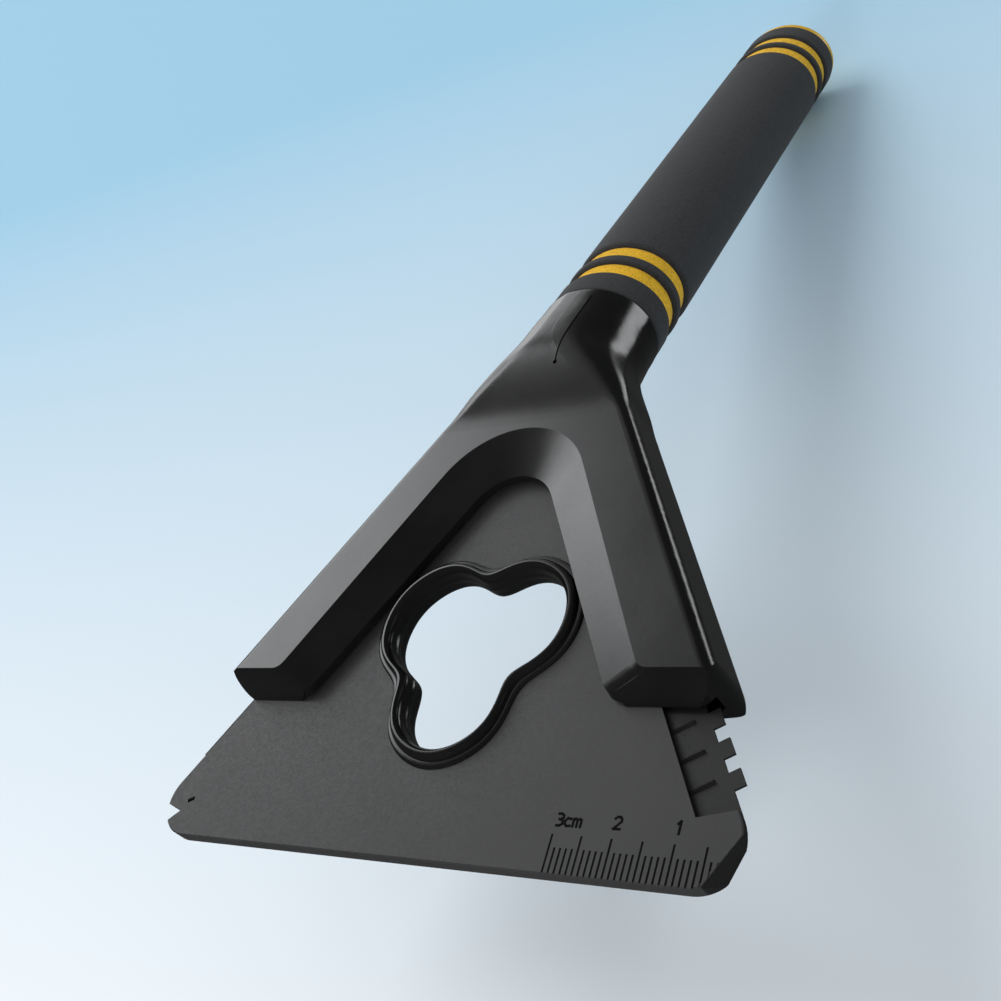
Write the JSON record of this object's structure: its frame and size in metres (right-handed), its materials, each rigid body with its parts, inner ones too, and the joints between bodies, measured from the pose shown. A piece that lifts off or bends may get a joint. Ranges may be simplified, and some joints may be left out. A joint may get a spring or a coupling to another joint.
{
  "type": "windshield ice scraper",
  "caption": "Hand ice scraper: forked head holding a removable triangular blade with scraping, toothed and squeegee sides, on a tilted foam-covered grip.",
  "frame": {"origin": "centre of the three-lobed ring, in the middle of the blade plate's thickness", "axes": "+X along the scraping edge, to the right seen from the front; +Y from the scraping edge towards the handle; +Z out of the front face of the head"},
  "size_m": [0.1136, 0.2427, 0.0616],
  "materials": {
    "shell_black": "high gloss, moulded",
    "ring_black": "high gloss, moulded",
    "blade_grey": "matte, finely grained",
    "strip_rubber": "smooth satin",
    "foam_black": "closed-cell foam, matte",
    "foam_yellow": "closed-cell foam, matte",
    "cap_yellow": "satin",
    "tube_aluminium": "drawn, satin",
    "pin_steel": "ground",
    "screw_steel": "zinc plated",
    "spring_steel": "rolled"
  },
  "bodies": {
    "handle": {"head_front_shell": "shell_black", "head_rear_shell": "shell_black", "neck_screws": "screw_steel", "handle_tube": "tube_aluminium", "spigot_pin": "pin_steel", "collar_ring": "foam_black", "lower_yellow_ring_1": "foam_yellow", "lower_black_ring": "foam_black", "lower_yellow_ring_2": "foam_yellow", "foam_sleeve": "foam_black", "upper_yellow_ring_1": "foam_yellow", "upper_black_ring": "foam_black", "upper_yellow_ring_2": "foam_yellow", "end_ring": "foam_black", "yellow_end_cap": "cap_yellow", "blade_spring_left": "spring_steel", "blade_spring_right": "spring_steel"},
    "blade": {"blade_plate": "blade_grey", "trefoil_ring_front": "ring_black", "trefoil_ring_rear": "ring_black", "squeegee_strip": "strip_rubber"}
  },
  "joints": [
    {"name": "blade_slide", "type": "slide", "parent": "handle", "child": "blade", "axis": [0, -1, 0], "range_m": [0, 0.12]}
  ]
}
